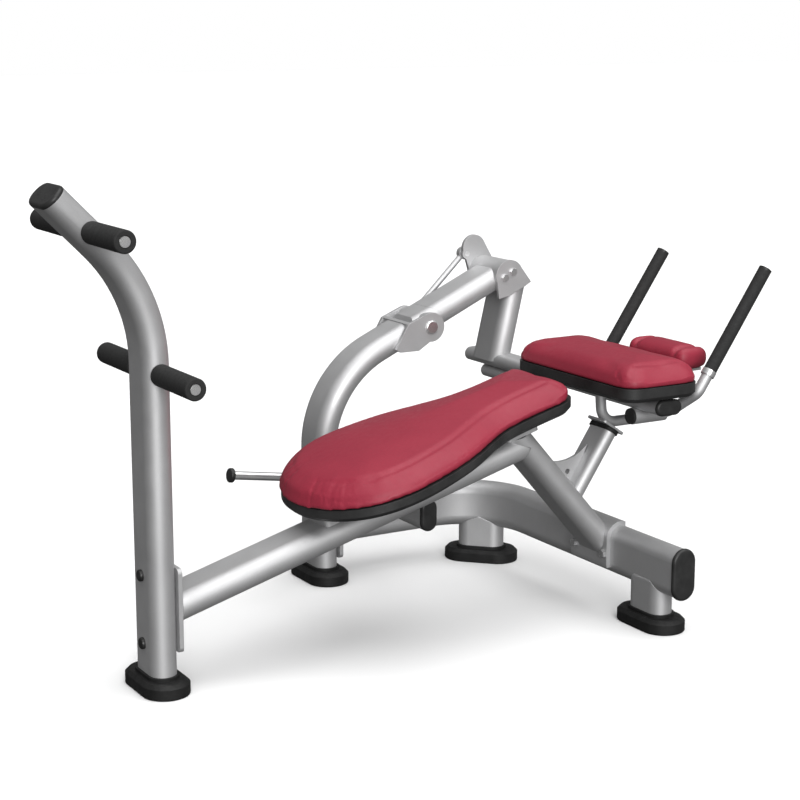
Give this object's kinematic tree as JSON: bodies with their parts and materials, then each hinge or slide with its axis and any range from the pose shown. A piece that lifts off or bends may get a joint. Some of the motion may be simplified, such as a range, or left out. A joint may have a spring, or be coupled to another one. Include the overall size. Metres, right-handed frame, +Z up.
{
  "type": "ab crunch machine",
  "caption": "Bench for seated-back crunches: sloped padded seat, foot pegs on a tall post, and a torso pad with grips on a lifting arm.",
  "frame": {"origin": "on the floor, at the middle of the front post's rubber boot", "axes": "+X from the foot pegs to the head end, +Y to the side that carries the lifting arm, +Z up"},
  "size_m": [1.4768, 0.8034, 0.9257],
  "materials": {
    "frame_paint": "satin silver paint",
    "bright_steel": "bright",
    "black_steel": "black satin",
    "bearing_bronze": "turned",
    "black_rubber": "moulded",
    "black_foam": "dense foam rubber",
    "black_plastic": "fine grain",
    "dark_shell": "grained shell",
    "red_vinyl": "wine red vinyl"
  },
  "bodies": {
    "frame": {"front_post": "frame_paint", "front_post_cap": "black_plastic", "boots": "black_rubber", "peg_bars": "bright_steel", "peg_bolts": "bright_steel", "spine_beam": "frame_paint", "post_flanges": "frame_paint", "flange_bolts": "black_steel", "seat_front_bracket": "frame_paint", "seat_rear_bracket": "frame_paint", "seat_base": "dark_shell", "seat_pad": "red_vinyl", "diagonal_brace": "frame_paint", "brace_saddle": "frame_paint", "saddle_bolts": "bright_steel", "support_post": "frame_paint", "bumper": "black_rubber", "gusset_plate": "frame_paint", "rear_beam": "frame_paint", "rear_beam_cap": "black_plastic", "foot_posts": "frame_paint", "arm_post": "frame_paint", "post_yoke": "frame_paint", "waist_shaft": "bright_steel", "link_lower_pin": "bright_steel", "cross_tube": "frame_paint", "cross_tube_cap": "black_plastic", "horn_rod": "bright_steel", "horn_cap": "black_plastic"},
    "lower_near_roller": {"lower_near_roller": "black_foam"},
    "lower_far_roller": {"lower_far_roller": "black_foam"},
    "upper_near_roller": {"upper_near_roller": "black_foam"},
    "upper_far_roller": {"upper_far_roller": "black_foam"},
    "lifting_arm": {"arm_tube": "frame_paint", "waist_hub": "frame_paint", "shoulder_hub": "frame_paint", "pivot_bushes": "bearing_bronze"},
    "torso_frame": {"hanger_tube": "frame_paint", "near_ear": "frame_paint", "far_ear": "frame_paint", "ear_bolts": "bright_steel", "shoulder_shaft": "bright_steel", "link_upper_pin": "bright_steel", "torso_crossbar": "frame_paint", "crossbar_cap": "black_plastic", "crossbar_stiffener": "frame_paint", "torso_plate": "frame_paint", "torso_base": "dark_shell", "torso_pad": "red_vinyl", "head_bracket": "frame_paint", "head_pad": "red_vinyl", "rest_loop": "frame_paint", "rest_plate": "frame_paint", "receiver": "frame_paint", "receiver_plug": "black_plastic", "handle_tubes": "frame_paint", "grip_collars": "bright_steel", "handle_grips": "black_foam", "grip_caps": "bright_steel"},
    "link": {"link_rod": "frame_paint"}
  },
  "joints": [
    {"name": "arm_lift", "type": "hinge", "parent": "frame", "child": "lifting_arm", "pos_m": [0.82, 0.449, 0.54], "axis": [0, -1, 0], "range_deg": [0, 35]},
    {"name": "hanger_tilt", "type": "hinge", "parent": "lifting_arm", "child": "torso_frame", "pos_m": [1.021, 0.449, 0.638], "axis": [0, -1, 0], "range_deg": [0, 5]},
    {"name": "link_swing", "type": "hinge", "parent": "frame", "child": "link", "pos_m": [0.814, 0.518, 0.517], "axis": [0, -1, 0], "range_deg": [0, 32]},
    {"name": "lower_near_roll", "type": "hinge", "parent": "frame", "child": "lower_near_roller", "pos_m": [0, 0, 0.59], "axis": [0, 1, 0], "continuous": true},
    {"name": "lower_far_roll", "type": "hinge", "parent": "frame", "child": "lower_far_roller", "pos_m": [0, 0, 0.59], "axis": [0, 1, 0], "continuous": true},
    {"name": "upper_near_roll", "type": "hinge", "parent": "frame", "child": "upper_near_roller", "pos_m": [-0.118, 0, 0.846], "axis": [0, 1, 0], "continuous": true},
    {"name": "upper_far_roll", "type": "hinge", "parent": "frame", "child": "upper_far_roller", "pos_m": [-0.118, 0, 0.846], "axis": [0, 1, 0], "continuous": true}
  ],
  "couplings": [
    {"joint": "hanger_tilt", "follows": "arm_lift", "ratio": 0.1315},
    {"joint": "link_swing", "follows": "arm_lift", "ratio": 0.9003}
  ]
}
